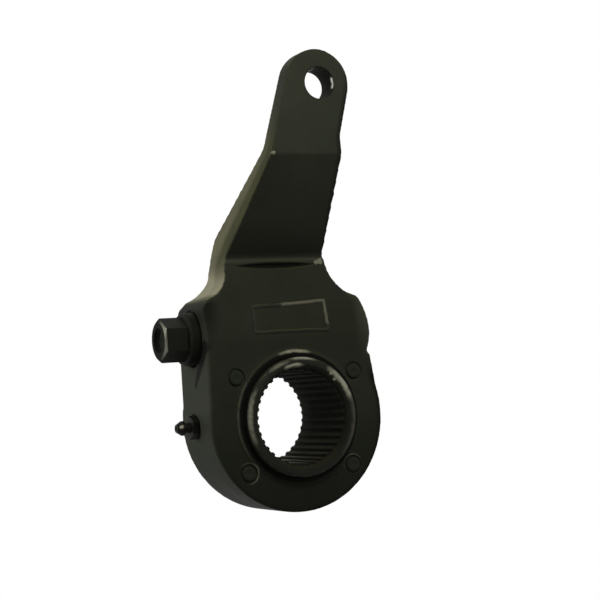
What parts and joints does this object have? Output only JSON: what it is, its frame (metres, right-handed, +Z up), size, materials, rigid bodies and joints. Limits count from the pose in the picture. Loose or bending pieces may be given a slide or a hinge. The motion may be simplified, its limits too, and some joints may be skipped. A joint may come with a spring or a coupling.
{
  "type": "brake slack adjuster",
  "caption": "Manual brake slack adjuster: forged cranked lever with a splined worm wheel, hexagon worm shaft, push-in locking sleeve, riveted cover and grease nipple.",
  "frame": {"origin": "middle of the splined camshaft bore, on its axis", "axes": "+Y along the camshaft bore towards the cover side, +Z up towards the clevis eye, +X along the worm shaft towards the plugged end"},
  "size_m": [0.0913, 0.066, 0.1854],
  "materials": {
    "paint": "satin green-black paint over a forging",
    "adjuster_steel": "thin dark paint on steel, worn at the corners",
    "hub_steel": "dark phosphated steel, bright where worn",
    "hard_steel": "ground steel",
    "bronze": "sintered bronze",
    "rubber": "matt black",
    "gasket": "gasket board",
    "spring_steel": "bright",
    "nipple_steel": "zinc plated, overpainted and worn"
  },
  "bodies": {
    "housing": {"body": "paint", "clevis_bush": "hard_steel", "front_seal": "rubber", "front_thrust_washer": "bronze", "rear_thrust_washer": "bronze", "cover_gasket": "gasket", "rear_seal": "rubber", "cover_plate": "paint", "cover_rivets": "paint", "worm_washer_left": "bronze", "worm_washer_right": "bronze", "shaft_bush_left": "bronze", "shaft_bush_right": "bronze", "shaft_seal": "rubber", "end_plug": "paint", "spring_seat": "hard_steel", "lock_spring": "spring_steel", "sleeve_circlip": "hard_steel", "grease_nipple": "nipple_steel", "nipple_spring": "spring_steel"},
    "wheel": {"worm_wheel": "hub_steel"},
    "worm_set": {"worm": "hard_steel", "worm_shaft": "adjuster_steel", "drive_pin": "hard_steel"},
    "sleeve": {"lock_sleeve": "adjuster_steel"},
    "ball": {"nipple_ball": "spring_steel"}
  },
  "joints": [
    {"name": "wheel_spin", "type": "hinge", "parent": "housing", "child": "wheel", "pos_m": [0, 0, 0], "axis": [0, 1, 0], "continuous": true},
    {"name": "worm_spin", "type": "hinge", "parent": "housing", "child": "worm_set", "pos_m": [0, 0, 0.0345], "axis": [1, 0, 0], "continuous": true},
    {"name": "sleeve_push", "type": "slide", "parent": "worm_set", "child": "sleeve", "axis": [1, 0, 0], "range_m": [0, 0.003], "stiffness_N_per_m": 1200, "springref_m": -0.002, "deforming": ["lock_spring"]},
    {"name": "ball_push", "type": "slide", "parent": "housing", "child": "ball", "axis": [1, 0, 0], "range_m": [0, 0.0012], "stiffness_N_per_m": 600, "springref_m": -0.0005, "deforming": ["nipple_spring"]}
  ],
  "couplings": [
    {"joint": "worm_spin", "follows": "wheel_spin", "ratio": -28}
  ]
}
